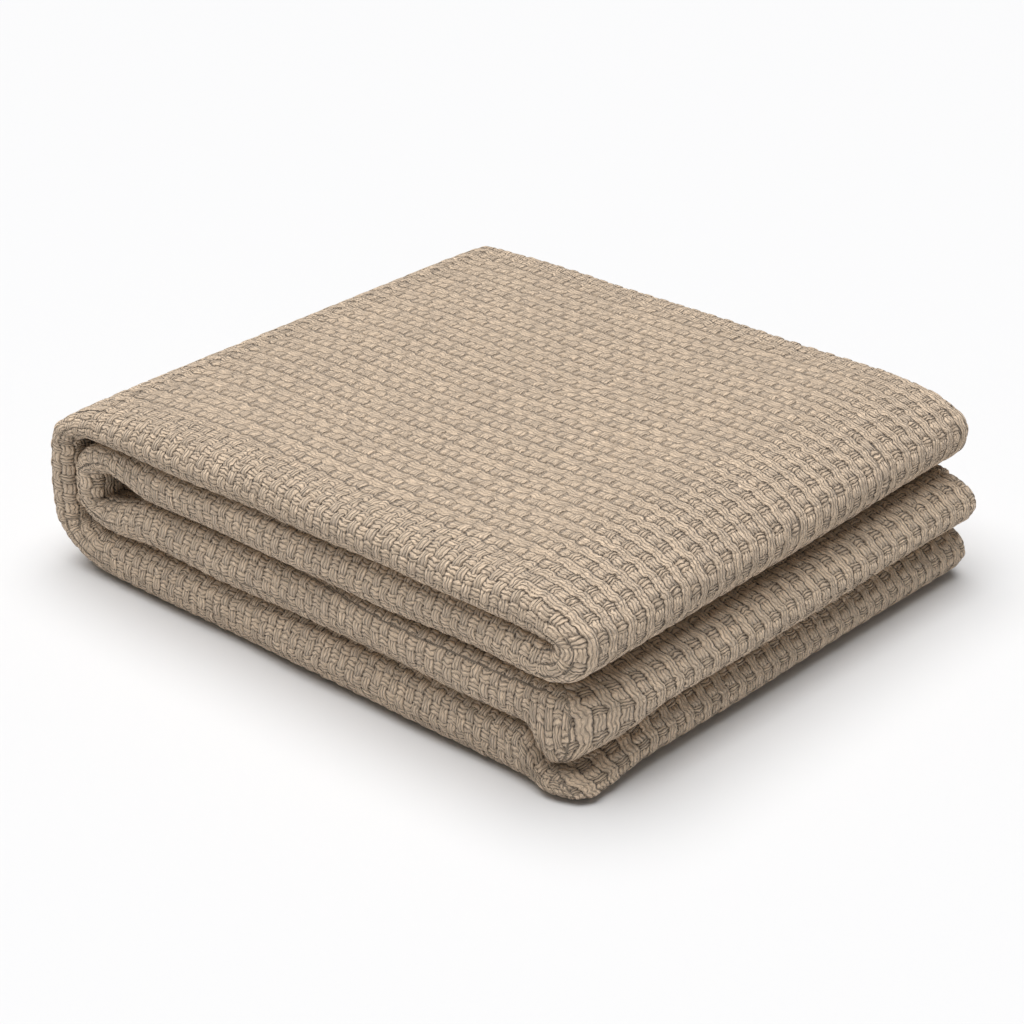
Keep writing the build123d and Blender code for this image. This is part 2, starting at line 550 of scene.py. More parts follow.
def add_inner_turn(section, w_start):
    """The inside of the front fold, from one side to the other."""
    turn = spaced(0.0, math.pi, 6)
    reach = abs(w_start)
    y = (front_y, 1 - reach * np.sin(turn), 0)
    section.run(y, w_start * np.cos(turn), y, 0.0)


def add_inner_face(section, start, end, w):
    """A face between two plies. start and end are y rules."""
    way = spaced(0.0, 1.0, 4)
    y = tuple((1 - way) * a + way * b for a, b in zip(start, end))
    section.run(y, w, y, 0.0)


def add_back_roll(section, gap, count):
    """The throw's lengthwise fold at the back, over the roll-side half of the layer."""
    turn = spaced(math.pi, 0.0, count)
    w = np.maximum(0.5 + 0.5 * np.cos(turn), gap)
    y = (back_y, 0, np.sin(turn) - 1)
    v = (back_y, 0, turn - 1)
    section.run(y, w, v, 1.0, 0.6)


def four_plies(hem_y, side_count, roll_count, back_count, end_relief):
    """The whole section: one sheet that goes to and fro through four plies."""
    gap = 0.03
    front = (front_y, 1, 0)
    back = (back_y, 0, -1)
    hem = (hem_y, 0, -0.5)
    section = Section()
    add_roll_side(section, side_count)
    add_front_roll(section, roll_count)
    add_hem_side(section, hem_y, 12)
    add_ply_end(section, hem_y, -0.75 - gap / 2, 0.25 - gap / 2, end_relief)
    add_inner_face(section, hem, front, -0.5 - gap)
    add_inner_turn(section, -0.5 - gap)
    add_inner_face(section, front, back, 0.5 + gap)
    add_inner_face(section, back, front, 0.5 - gap)
    add_inner_turn(section, 0.5 - gap)
    add_inner_face(section, front, hem, -0.5 + gap)
    add_ply_end(section, hem_y, -0.25, 0.25 - gap, end_relief)
    add_inner_face(section, hem, front, -gap)
    add_inner_face(section, front, back, gap)
    add_back_roll(section, gap, back_count)
    return section.table()


def turned_hem(w_low, w_high):
    """A long hem beside a ply: the cut edge turned over, round at the back, a slit in its end."""
    middle = (w_low + w_high) / 2
    half = (w_high - w_low) / 2 - 0.02
    section = Section()
    face = spaced(0.0, 1.0, 4)
    outer = (edge_hem_y + face * (edge_hem_end_y - edge_hem_y), 0, -0.5 * face)
    section.run(outer, middle - half, outer, smooth(face, 0.5, 1.0), 0.3)
    turn = spaced(0.0, math.pi, 13)
    crease = 0.5 * np.exp(-((turn - math.pi / 2) / 0.22) ** 2)
    round_end = (edge_hem_end_y, 0, 0.5 * np.sin(turn) - 0.5 - crease)
    section.run(round_end, middle - half * np.cos(turn), (edge_hem_end_y, 0, 0.5 * turn), 1.0, 0.3)
    inner = (edge_hem_end_y + face * (edge_hem_y - edge_hem_end_y), 0, -0.5 * (1 - face))
    section.run(inner, middle + half, inner, smooth(1 - face, 0.5, 1.0), 0.3)
    end = spaced(0.0, 1.0, 3)
    section.run((edge_hem_y, 0, 0), middle + half - 2 * half * end, (edge_hem_y, 0, 0), 0.0)
    return section.table()


# ---- settling and weave, the same over every piece ----


def settle(points):
    """Moves points as the stack has settled. It depends on the place only, so seams stay shut."""
    drape = throw_drape()
    x, y, z = points[..., 0], points[..., 1], points[..., 2]
    in_top = np.clip((z - slit_z) / (top_z - slit_z), 0.0, 1.0)
    front = np.clip(1 - (y - front_y) / 0.055, 0.0, 1.0)
    back = np.clip(1 - (back_y - y) / 0.07, 0.0, 1.0)
    right = smooth(x, 0.02, right_x)
    left = smooth(-x, 0.10, -left_x)
    drop = drape.front_drop * front**2 + drape.back_drop * back**2 * (0.35 + 0.65 * right)
    drop = drop + drape.left_drop * left * (back_y - y) / (back_y - front_y)
    inside = np.clip(z / 0.012, 0.0, 1.0) * (1.0 - smooth(-x, 0.115, -hinge_x))
    wave = np.sin(x * 21 + 0.6) * np.cos(y * 17 + 1.1) + 0.5 * np.sin(x * 47 - y * 33 + z * 60)
    side_wave = np.sin(x * 33 + z * 140 + 2.0) + 0.6 * np.sin(x * 71 - z * 95)
    near_front = np.clip(1 - (y - front_y) / 0.03, 0.0, 1.0)
    moved = points.copy()
    moved[..., 0] += end_slip(x, y, z) - corner_pull(x, y, z)
    moved[..., 1] += drape.unevenness * side_wave * near_front * inside
    moved[..., 2] += drape.unevenness * wave * inside - drop * in_top - droop(x, y, z)
    return moved


def end_slip(x, y, z):
    """The closed fold bulges; at the ends the lower layers stick out and the upper ones don't."""
    drape = throw_drape()
    past_hinge = np.clip((hinge_x - x) / (hinge_x - left_x), 0.0, 1.0)
    bulge = past_hinge * (1 - 0.92 * (2 * z / top_z - 0.84) ** 2)
    out = smooth(x, 0.09, 0.18)
    split_z = (third_top_z + second_z) / 2
    way_back = (y - front_y) / (back_y - front_y)
    bottom = 1.0 - smooth(z, third_z * 0.75, third_z * 1.3)
    lower = drape.end_slip * (1.7 * way_back - bottom * (1.5 - 0.6 * way_back))
    return np.where(z < split_z, lower, -drape.end_slip) * out - drape.left_bulge * bulge


def corner_pull(x, y, z):
    """The lower layers' front corner is rounder than the upper ones'."""
    in_x = smooth(x, 0.125, right_x)
    in_y = smooth(-y, -front_y - 0.045, -front_y)
    split_z = (third_top_z + second_z) / 2
    share = np.where(z < split_z, np.clip((z - 0.012) / (third_z - 0.012), 0.0, 1.0), 0.0)
    return throw_drape().corner_pull * in_x * in_y * share


def droop(x, y, z):
    """The third layer's front corner hangs over the bottom layer's."""
    in_x = smooth(x, 0.148, right_x - 0.020)
    in_y = smooth(-y, -front_y - 0.060, -front_y - 0.004)
    pivot = third_z * 0.45 + third_top_z * 0.55
    share = np.where(z < third_z, z / third_z, (pivot - z) / (pivot - third_z))
    return throw_drape().corner_droop * in_x * in_y * np.clip(share, 0.0, 1.0)


def cloth_places(along, across):
    """Cloth lengths to weave cells, with rows that wander a little."""
    weave = throw_weave()
    skew = 0.0030 * np.sin(along * 9.0 + 0.4) + 0.0022 * np.sin(along * 23.0 + across * 8.0)
    sway = 0.0016 * np.sin(across * 19.0 + 1.0) + 0.0011 * np.sin(across * 41.0 + along * 13.0)
    return (along + sway) / weave.cell_along, (across + skew) / weave.cell_across


def gathered(points, along, cells_u, cells_v):
    """Cells along the strip, with fewer of them in the rows that run closer round a turn.
    Whole cells are left out, so the weave still meets the next piece's."""
    steps = np.linalg.norm(np.diff(points, axis=0), axis=2).sum(axis=0)
    full = abs(along[-1, 0] - along[0, 0])
    row = np.floor(cells_v * 2.0).astype(int)
    lowest = row.min()
    row -= lowest
    count = np.bincount(row.ravel())
    share = np.bincount(row.ravel(), np.broadcast_to(steps / full, row.shape).ravel())
    share /= np.maximum(count, 1)
    cells = full / throw_weave().cell_along
    missing = np.floor(cells * (1.0 - np.clip(share, 0.0, 1.0)) + 0.45)
    missing = np.minimum(missing, np.ceil(cells) - 1)
    kept = (cells - missing) / cells
    start = cells_u[:1]
    return start + (cells_u - start) * kept[row]


def pressed(x, y):
    """Relief left on the top: a pulled band near the front edge, and a few flattened spots."""
    band_middle = front_y + 0.042 + 0.006 * np.sin(x * 14.0)
    band = np.exp(-(((y - band_middle) / 0.011) ** 2)) * smooth(-x, -0.10, 0.06)
    spots = np.sin(x * 61 + 1.3) * np.sin(y * 53 + 0.4) + 0.7 * np.sin(x * 23 - y * 37)
    return 1.0 - 0.62 * band - 0.35 * smooth(spots, 0.75, 1.5)


def mesh_normals(points, closed):
    """Outward directions of a grid, by its neighbours along and round it."""
    along = np.zeros_like(points)
    along[1:-1] = points[2:] - points[:-2]
    along[0] = points[1] - points[0]
    along[-1] = points[-1] - points[-2]
    if closed:
        around = np.roll(points, -1, axis=1) - np.roll(points, 1, axis=1)
    else:
        around = np.gradient(points, axis=1)
    normal = np.cross(around, along)
    length = np.linalg.norm(normal, axis=-1, keepdims=True)
    stretch = np.linalg.norm(along, axis=-1)
    return normal / np.maximum(length, 1e-12), stretch


def raise_weave(points, u, v, relief, lift, calm, closed):
    """Pushes a grid out by the weave's height, less where the cloth is bunched."""
    weave = throw_weave()
    normals, stretch = mesh_normals(points, closed)
    usual = np.median(stretch, axis=1, keepdims=True)
    free = smooth(stretch / np.maximum(np.median(usual), 1e-9), 0.04, 0.35)
    height, _, _, column, row = basket(u, v, lift, calm, 0.14)
    height = height + 0.25 * (uneven(column, row, weave.seed) - 0.5)
    amount = weave.roll_relief + (weave.flat_relief - weave.roll_relief) * calm
    return points + normals * (height * relief * amount * free)[..., None]


def new_mesh(name, points, faces, caps, u, v, lift, calm, relief):
    """A mesh object from a grid's points and quads, with UV in weave cells."""
    mesh = bpy.data.meshes.new(name)
    mesh.from_pydata(points.reshape(-1, 3).tolist(), [], faces + caps)
    mesh.polygons.foreach_set("use_smooth", [True] * len(faces) + [False] * len(caps))
    corner_points = np.zeros(len(mesh.loops), np.int32)
    mesh.loops.foreach_get("vertex_index", corner_points)
    layer = mesh.uv_layers.new(name="cloth")
    cells = np.stack([u.ravel(), v.ravel()], -1)[corner_points]
    layer.data.foreach_set("uv", cells.astype(np.float32).ravel())
    state = mesh.attributes.new("cloth_state", "FLOAT_VECTOR", "POINT")
    values = np.stack([lift.ravel(), calm.ravel(), relief.ravel()], -1)
    state.data.foreach_set("vector", values.astype(np.float32).ravel())
    sharpen_caps(mesh, caps)
    obj = bpy.data.objects.new(name, mesh)
    bpy.context.scene.collection.objects.link(obj)
    return obj


def sharpen_caps(mesh, caps):
    """The edges round flat ends stay sharp, so that they don't shade the cloth beside them."""
    rim = set()
    for cap in caps:
        rim.update(frozenset(pair) for pair in zip(cap, cap[1:] + cap[:1]))
    ends = np.zeros(len(mesh.edges) * 2, np.int32)
    mesh.edges.foreach_get("vertices", ends)
    flags = [frozenset((a, b)) in rim for a, b in ends.reshape(-1, 2).tolist()]
    sharp = mesh.attributes.new("sharp_edge", "BOOLEAN", "EDGE")
    sharp.data.foreach_set("value", flags)


def grid_faces(rows, columns, closed, offset=0):
    """Quads of a grid, wound so that they face outwards."""
    row = np.arange(rows - 1)[:, None]
    column = np.arange(columns if closed else columns - 1)[None, :]
    following = (column + 1) % columns
    quads = [row * columns + column, row * columns + following,
             (row + 1) * columns + following, (row + 1) * columns + column]
    quads = [np.broadcast_to(q, (rows - 1, column.shape[1])) for q in quads]
    return (np.stack(quads, -1).reshape(-1, 4) + offset).tolist()


def sweep(strip, name, span, table, step, relief_scale, calm_on_side):
    """A piece of the strip: its section carried along one span."""
    places = strip.stations(span, step)
    roll, hem = strip.faces(places)
    thick = np.linalg.norm(roll - hem, axis=1)
    y0, y_front, y_back, w, v0, v_front, v_back, relief, lift = table.T
    clear = 1.0 - throw_weave().ply_gap * 1.6 / thick
    share = (w[None, :] * clear[:, None] + 1) / 2
    flat = hem[:, None, :] + (roll - hem)[:, None, :] * share[..., None]
    front_radius = thick[:, None] / 2
    back_radius = thick[:, None] / 4
    y = y0 + y_front * front_radius + y_back * back_radius
    v = v0 + v_front * front_radius + v_back * back_radius
    points = settle(np.stack([flat[..., 0], y, flat[..., 1]], -1))
    along = np.broadcast_to(strip.cloth(places)[:, None], y.shape)
    cells_u, cells_v = cloth_places(along, v)
    cells_u = gathered(points, along, cells_u, cells_v)
    bent = np.broadcast_to(turned_share(strip, places)[:, None], y.shape)
    on_side = np.broadcast_to((w > 0.999)[None, :], y.shape)
    edge = smooth(y, front_y + 0.012, front_y + 0.04) * smooth(-y, -back_y + 0.008, -back_y + 0.03)
    calm = np.where(on_side, calm_on_side * (1 - bent) * edge, 0.0)
    long_floats = 0.3 + 0.5 * smooth(w, 0.6, 1.0)
    lifted = lift[None, :] * (1 - bent) - bent * long_floats[None, :]
    worn = np.where(on_side & (points[..., 2] > slit_z), pressed(points[..., 0], y), 1.0)
    shown = relief[None, :] * relief_scale * (1 + (worn - 1) * calm)
    points = raise_weave(points, cells_u, cells_v, shown, lifted, calm, True)
    points[..., 2] = np.maximum(points[..., 2], above_floor)
    keep_clear(points, span)
    grid = [part[1:-1] for part in (points, cells_u, cells_v, lifted, calm, shown)]
    return grid_object(name, grid)


def keep_clear(points, span):
    """Ends that come face to face once the fold lies open stop a hair short of each other."""
    hair = 0.00015
    if span == "outer_wall":
        points[..., 2] = np.clip(points[..., 2], lower_hinge_z + hair, upper_hinge_z - hair)
    elif span in ("bottom_layer", "top_layer"):
        points[..., 0] = np.maximum(points[..., 0], hinge_x + hair)


def turned_share(strip, places):
    """1 on the turns and folds, 0 on the flat spans, eased into them."""
    share = np.zeros(len(places))
    turns = [i for i, name in enumerate(strip.names) if "layer" not in name]
    for index in turns:
        share = np.where((places >= index) & (places <= index + 1), 1.0, share)
    length = strip.cloth(places)
    for index in turns:
        start, end = strip.cloth(np.array([index, index + 1.0]))
        reach = 0.045 if strip.names[index] == "right_fold" else 0.012
        near = smooth(length, start - reach, start) * (length <= start)
        far = smooth(-length, -end - reach, -end) * (length >= end)
        share = np.maximum(share, np.maximum(near, far))
    return share


def grid_object(name, grid):
    """One closed piece from a grid that goes right round, with flat ends."""
    points, u, v, lift, calm, relief = grid
    rows, columns = points.shape[:2]
    faces = grid_faces(rows, columns, True)
    first = list(range(columns - 1, -1, -1))
    last = list(range((rows - 1) * columns, rows * columns))
    return new_mesh(name, points, faces, [first, last], u, v, lift, calm, relief)


def rolled_end(strip, name, node, at_start, step):
    """A free end of the strip: its last cloth turned under into a round roll.

    The rows close up round a point low on the roll's front and back, where they tuck in."""
    place = 0.0 if at_start else float(len(strip.spans))
    roll, hem = strip.faces(np.array([place]))
    middle = (roll[0] + hem[0]) / 2
    half = (abs(roll[0][1] - hem[0][1]) - throw_weave().ply_gap * 1.6) / 2
    depth = high(node).x - middle[0]
    arc_length = math.pi / 2 * (half + depth)
    turn = np.linspace(0.0, math.pi, round(arc_length / step) + 1)
    turn = np.concatenate([[-0.02], turn, [math.pi + 0.02]])
    rim = np.stack([np.sin(turn), np.cos(turn)], -1)
    y_end, side, reach, v0, v_front = nose_section().T
    eye = np.array([0.0, -0.86])
    share = eye + (rim[:, None, :] - eye) * reach[None, :, None]
    depth_in = np.sqrt(np.clip(1 - (share**2).sum(axis=2), 0.0, 1.0))
    y = y_end + side * half * (1 - depth_in)
    flat = middle + share * np.array([depth, half])
    points = settle(np.stack([flat[..., 0], y, flat[..., 1]], -1))
    on_end, end_along, end_across = corner_cloth(share, depth_in, side, half, depth)
    around = np.broadcast_to((arc_length * turn / math.pi)[:, None], y.shape)
    past = np.where(on_end, end_along, around)
    across = np.where(on_end, end_across, v0 + v_front * half)
    begin = strip.cloth(np.array([place]))[0]
    cells_u, cells_v = cloth_places(begin + (-past if at_start else past), across)
    bent = np.broadcast_to(smooth(np.sin(turn), -0.02, 0.4)[:, None], y.shape)
    lift = np.where(on_end, 0.3, -0.8 * bent)
    calm = np.zeros(y.shape)
    shown = np.ones(y.shape)
    points = raise_weave(points, cells_u, cells_v, shown, lift, calm, False)
    points[..., 2] = np.maximum(points[..., 2], above_floor)
    grid = [part[1:-1] for part in (points, cells_u, cells_v, lift, calm, shown)]
    return nose_object(name, grid)


def corner_cloth(share, depth_in, side, half, depth):
    """Where a rolled end turns to the front or back, the cloth follows the layer's own roll.

    share is the place across the roll, and depth_in how far it faces the front or back, both
    as shares. Returns where that is so, and the cloth's lengths along and across the strip."""
    on_end = (depth_in > share[..., 0] * 0.9) & (depth_in > 1e-6)
    along = depth * np.arcsin(np.clip(share[..., 0], 0.0, 1.0))
    roll_turn = np.arctan2(depth_in, share[..., 1])
    front_across = front_y + half - half * roll_turn
    back_across = back_y - half + half * roll_turn
    return on_end, along, np.where(side > 0, front_across, back_across)


def nose_section():
    """From the back eye over the roll's length to the front eye.

    Each row: the y of the end or of the straight part, the way to the middle from there,
    the share of the way from the eye to the rim, and v as (constant, times half the height)."""
    turn = np.linspace(0.0, math.pi / 2, 25)
    way = spaced(0.0, 1.0, 288)
    straight = (1 - way) * back_y + way * front_y
    ones = np.ones(288)
    # y of the straight part runs between the two ends' roundings, set by the radius in use
    back = [np.full(24, back_y), np.full(24, -1.0), np.sin(turn[:-1]), np.full(24, back_y),
            math.pi / 2 - turn[:-1] - 1]
    middle = [straight, 2 * way - 1, ones, straight, 2 * way - 1]
    front = [np.full(25, front_y), np.ones(25), np.cos(turn), np.full(25, front_y), 1 - turn]
    return np.concatenate([np.stack(part, -1) for part in (back, middle, front)])


def nose_object(name, grid):
    """A rolled end from a grid that ends in two poles and a flat inner side."""
    points, u, v, lift, calm, relief = grid
    rows, columns = points.shape[:2]
    faces = grid_faces(rows, columns, False)
    first = list(range(columns - 1, -1, -1))
    last = list(range((rows - 1) * columns, rows * columns))
    points[:, 0] = points[:, 0].mean(axis=0)
    points[:, -1] = points[:, -1].mean(axis=0)
    cap = last[:-1] + first[:-1]
    obj = new_mesh(name, points, faces, [cap], u, v, lift, calm, relief)
    merge_poles(obj.data)
    return obj


def merge_poles(mesh):
    work = bmesh.new()
    work.from_mesh(mesh)
    bmesh.ops.remove_doubles(work, verts=work.verts, dist=2e-6)
    bmesh.ops.dissolve_degenerate(work, edges=work.edges, dist=1e-7)
    work.to_mesh(mesh)
    work.free()


# ---- materials ----


def new_group(name, inputs, outputs):
    """A shader node group with named sockets."""
    group = bpy.data.node_groups.new(name, "ShaderNodeTree")
    for socket_name, kind, default in inputs:
        socket = group.interface.new_socket(name=socket_name, in_out="INPUT", socket_type=kind)
        if default is not None:
            socket.default_value = default
    for socket_name, kind in outputs:
        group.interface.new_socket(name=socket_name, in_out="OUTPUT", socket_type=kind)
    start = group.nodes.new("NodeGroupInput")
    end = group.nodes.new("NodeGroupOutput")
    return group, start, end


def stretched_noise(tree, u, v, scale_u, scale_v, detail):
    """Noise drawn out along one direction of the cloth, as spun fibres are."""
    joined_up = tree.nodes.new("ShaderNodeCombineXYZ")
    put(tree, u * scale_u, joined_up.inputs["X"])
    put(tree, v * scale_v, joined_up.inputs["Y"])
    noise = tree.nodes.new("ShaderNodeTexNoise")
    noise.noise_dimensions = "2D"
    noise.inputs["Scale"].default_value = 1.0
    noise.inputs["Detail"].default_value = detail
    noise.inputs["Roughness"].default_value = 0.6
    tree.links.new(joined_up.outputs[0], noise.inputs["Vector"])
    return Wire(tree, noise.outputs["Fac"])


def basket_group():
    """Basket weave: height for bump, a mask for painted shade between bundles, and a tone for each
    bundle.
    """
    group, start, end = new_group(
        "Basket weave",
        [("Cells", "NodeSocketVector", None), ("State", "NodeSocketVector", None),
         ("Strands", "NodeSocketFloat", 0.5), ("Fibre", "NodeSocketFloat", 0.25)],
        [("Height", "NodeSocketFloat"), ("Unshaded", "NodeSocketFloat"), ("Tone", "NodeSocketFloat"),
         ("Fibres", "NodeSocketFloat")])
    cells = group.nodes.new("ShaderNodeSeparateXYZ")
    state = group.nodes.new("ShaderNodeSeparateXYZ")
    group.links.new(start.outputs["Cells"], cells.inputs[0])
    group.links.new(start.outputs["State"], state.inputs[0])
    u = Wire(group, cells.outputs["X"])
    v = Wire(group, cells.outputs["Y"])
    fray_u = stretched_noise(group, u, v, 3.1, 3.1, 2.0) - 0.5
    fray_v = stretched_noise(group, u + 7.3, v + 2.9, 3.3, 3.3, 2.0) - 0.5
    u = u + fray_u * 0.20
    v = v + fray_v * 0.20
    lift = Wire(group, state.outputs["X"])
    calm = Wire(group, state.outputs["Y"])
    strands = Wire(group, start.outputs["Strands"])
    height, weft, warp, column, row = basket(u, v, lift, calm, strands)
    weft_shows = smooth(weft - warp, -0.08, 0.08)
    weft_fibres = stretched_noise(group, u, v, 2.2, 15.0, 2.0)
    warp_fibres = stretched_noise(group, u, v, 16.0, 2.0, 2.0)
    fibres = weft_fibres * weft_shows + warp_fibres * (1.0 - weft_shows)
    fibre_height = (fibres - 0.5) * Wire(group, start.outputs["Fibre"])
    put(group, height + fibre_height, end.inputs["Height"])
    # Painted shade mask: 1 on the bundles' crowns, falling to 0 deep between them; flat cloth keeps
    # more of its light.
    lit = smooth(height, -0.04, 1.16)
    put(group, lit + (1.0 - lit) * calm * 0.62, end.inputs["Unshaded"])
    put(group, fibres, end.inputs["Fibres"])
    bundle = group.nodes.new("ShaderNodeCombineXYZ")
    put(group, column, bundle.inputs["X"])
    put(group, row, bundle.inputs["Y"])
    chance = group.nodes.new("ShaderNodeTexWhiteNoise")
    chance.noise_dimensions = "2D"
    group.links.new(bundle.outputs[0], chance.inputs["Vector"])
    put(group, chance.outputs["Value"], end.inputs["Tone"])
    return group


def grain_group():
    """Fine spun grain on Object coordinates: a tone and a height."""
    group, start, end = new_group(
        "Spun grain",
        [("Place", "NodeSocketVector", None), ("Fineness", "NodeSocketFloat", 900.0)],
        [("Tone", "NodeSocketFloat"), ("Height", "NodeSocketFloat")])
    fine = group.nodes.new("ShaderNodeTexNoise")
    broad = group.nodes.new("ShaderNodeTexNoise")
    broad.inputs["Scale"].default_value = 26.0
    broad.inputs["Detail"].default_value = 3.0
    fine.inputs["Detail"].default_value = 2.0
    group.links.new(start.outputs["Fineness"], fine.inputs["Scale"])
    for noise in (fine, broad):
        group.links.new(start.outputs["Place"], noise.inputs["Vector"])
    fine_wire = Wire(group, fine.outputs["Fac"])
    broad_wire = Wire(group, broad.outputs["Fac"])
    put(group, fine_wire * 0.45 + broad_wire * 0.55, end.inputs["Tone"])
    put(group, fine_wire, end.inputs["Height"])
    return group


def place_group(tree, group, values):
    node = tree.nodes.new("ShaderNodeGroup")
    node.node_tree = group
    for name, value in values.items():
        put(tree, value, node.inputs[name])
    return node


def mix_colours(tree, amount, first, second, blend="MIX"):
    node = tree.nodes.new("ShaderNodeMix")
    node.data_type = "RGBA"
    node.blend_type = blend
    put(tree, amount, node.inputs["Factor"])
    put(tree, first, node.inputs["A"])
    put(tree, second, node.inputs["B"])
    return node.outputs["Result"]


def rgba(colour, share=1.0):
    return (colour[0] * share, colour[1] * share, colour[2] * share, 1.0)


def tinted(tree, colour, tone, low_share, high_share):
    """The colour made darker or lighter by a tone from 0 to 1."""
    ramp = tree.nodes.new("ShaderNodeValToRGB")
    ramp.color_ramp.elements[0].position = 0.25
    ramp.color_ramp.elements[0].color = (low_share, low_share, low_share, 1)
    ramp.color_ramp.elements[1].position = 0.75
    ramp.color_ramp.elements[1].color = (high_share, high_share * 0.995, high_share * 0.985, 1)
    put(tree, tone, ramp.inputs["Fac"])
    return mix_colours(tree, 1.0, colour, ramp.outputs["Color"], "MULTIPLY")


def add_bump(tree, shader, height, distance, strength):
    bump = tree.nodes.new("ShaderNodeBump")
    bump.inputs["Distance"].default_value = distance
    bump.inputs["Strength"].default_value = strength
    put(tree, height, bump.inputs["Height"])
    tree.links.new(bump.outputs["Normal"], shader.inputs["Normal"])


def new_material(name, roughness, sheen):
    material = bpy.data.materials.new(name)
    material.use_nodes = True
    tree = material.node_tree
    shader = tree.nodes["Principled BSDF"]
    shader.inputs["Roughness"].default_value = roughness
    shader.inputs["Sheen Weight"].default_value = sheen
    shader.inputs["Sheen Roughness"].default_value = 0.6
    shader.inputs["Specular IOR Level"].default_value = 0.22
    return material, tree, shader


def attribute(tree, name):
    node = tree.nodes.new("ShaderNodeAttribute")
    node.attribute_name = name
    return node


def woven_cloth():
    """Chunky cotton basket weave: pale yarn, painted shade in the crevices, spun fibres."""
    ready = bpy.data.materials.get("Woven cloth")
    if ready:
        return ready
    colours = throw_colours()
    material, tree, shader = new_material("Woven cloth", 0.92, 0.18)
    cells = tree.nodes.new("ShaderNodeUVMap")
    cells.uv_map = "cloth"
    state = attribute(tree, "cloth_state")
    weave = place_group(tree, basket_group(), {
        "Cells": cells.outputs["UV"], "State": state.outputs["Vector"],
        "Strands": 0.85, "Fibre": 0.75})
    where = tree.nodes.new("ShaderNodeTexCoord")
    grain = place_group(tree, grain_group(), {
        "Place": where.outputs["Object"], "Fineness": 1400.0})
    # Painted shade: the yarn turns to the dark crevice shade colour where the weave sinks between
    # bundles.
    base = mix_colours(tree, weave.outputs["Unshaded"], rgba(colours.crevice_shade), rgba(colours.yarn))
    base = tinted(tree, base, weave.outputs["Tone"], 0.94, 1.04)
    base = tinted(tree, base, weave.outputs["Fibres"], 0.70, 1.16)
    base = tinted(tree, base, grain.outputs["Tone"], 0.93, 1.05)
    tree.links.new(base, shader.inputs["Base Color"])
    fine = Wire(tree, grain.outputs["Height"]) * 0.10
    height = Wire(tree, weave.outputs["Height"]) + fine
    add_bump(tree, shader, height, 0.0016, 1.0)
    return material


def plain_material(name, colour, roughness, sheen, fineness, distance):
    """A fine spun or satin finish on Object coordinates."""
    ready = bpy.data.materials.get(name)
    if ready:
        return ready
    material, tree, shader = new_material(name, roughness, sheen)
    where = tree.nodes.new("ShaderNodeTexCoord")
    group = bpy.data.node_groups.get("Spun grain") or grain_group()
    grain = place_group(tree, group, {"Place": where.outputs["Object"], "Fineness": fineness})
    base = tinted(tree, rgba(colour), grain.outputs["Tone"], 0.86, 1.06)
    tree.links.new(base, shader.inputs["Base Color"])
    add_bump(tree, shader, grain.outputs["Height"], distance, 0.7)
    return material


def sewing_thread():
    return plain_material("Sewing thread", throw_colours().thread, 0.75, 0.1, 2600.0, 0.0002)


def label_ribbon():
    """Satin ribbon with a fine plain weave of its own."""
    ready = bpy.data.materials.get("Label ribbon")
    if ready:
        return ready
    material, tree, shader = new_material("Label ribbon", 0.48, 0.15)
    where = tree.nodes.new("ShaderNodeTexCoord")
    cells = tree.nodes.new("ShaderNodeUVMap")
    cells.uv_map = "cloth"
    group = bpy.data.node_groups.get("Basket weave") or basket_group()
    weave = place_group(tree, group, {"Cells": cells.outputs["UV"], "Strands": 0.2, "Fibre": 0.1})
    grain_tree = bpy.data.node_groups.get("Spun grain") or grain_group()
    grain = place_group(tree, grain_tree, {"Place": where.outputs["Object"], "Fineness": 2200.0})
    base = tinted(tree, rgba(throw_colours().ribbon), grain.outputs["Tone"], 0.93, 1.03)
    # Painted shade: the ribbon is darkened where its fine weave sinks.
    base = tinted(tree, base, weave.outputs["Unshaded"], 0.90, 1.0)
    tree.links.new(base, shader.inputs["Base Color"])
    add_bump(tree, shader, weave.outputs["Height"], 0.00006, 0.6)
    return material


# ---- pieces ----

hem_cut_y = edge_hem_y - thread_channel
turn_hem_y = edge_hem_end_y


def dress(obj, node, body, flat):
    """Gives a piece of cloth its material, hides its part and hangs it on its body. flat is not used.
    """
    obj.data.materials.append(woven_cloth())
    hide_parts(node)
    if body:
        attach(obj, body)
    return obj


def span_length(strip, node):
    """Mean length of a span's two sides."""
    index = strip.names.index(node)
    roll, hem = strip.faces(np.linspace(index, index + 1, 60))
    sides = [np.linalg.norm(np.diff(side, axis=0), axis=1).sum() for side in (roll, hem)]
    return sum(sides) / 2


def add_span(strip, node, body, table, step, relief_scale, calm):
    """One span of the strip as a finished piece."""
    obj = sweep(strip, node + "_cloth", node, table, step, relief_scale, calm)
    return dress(obj, node, body, (span_length(strip, node), throw_width))


def bend_over(obj):
    """Bakes the piece's transform into its mesh."""
    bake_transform(obj)


# mesh steps to a weave cell along the strip, and points round the front and back rolls
fine_steps = 16
turn_steps = 14
coarse_steps = 12
front_roll_points = 46


class THROW_OT_layers(bpy.types.Operator):
    """Make the four flat layers of the strip"""

    bl_idname = "throw.layers"
    bl_label = "Layers"

    def execute(self, context):
        strip = Strip()
        weave = throw_weave()
        fine = weave.cell_along / fine_steps
        coarse = weave.cell_along / coarse_steps
        layers = (
            ("bottom_layer", "lower_half", fine, 96, 0.8),
            ("third_layer", "lower_half", fine, 96, 0.8),
            ("second_layer", "upper_half", fine, 96, 0.8),
            ("top_layer", "upper_half", coarse, 178, 1.0),
        )
        for node, body, step, side_count, calm in layers:
            table = four_plies(hem_cut_y, side_count, front_roll_points, 12, 0.0)
            add_span(strip, node, body, table, step, 1.0, calm)
        return {"FINISHED"}


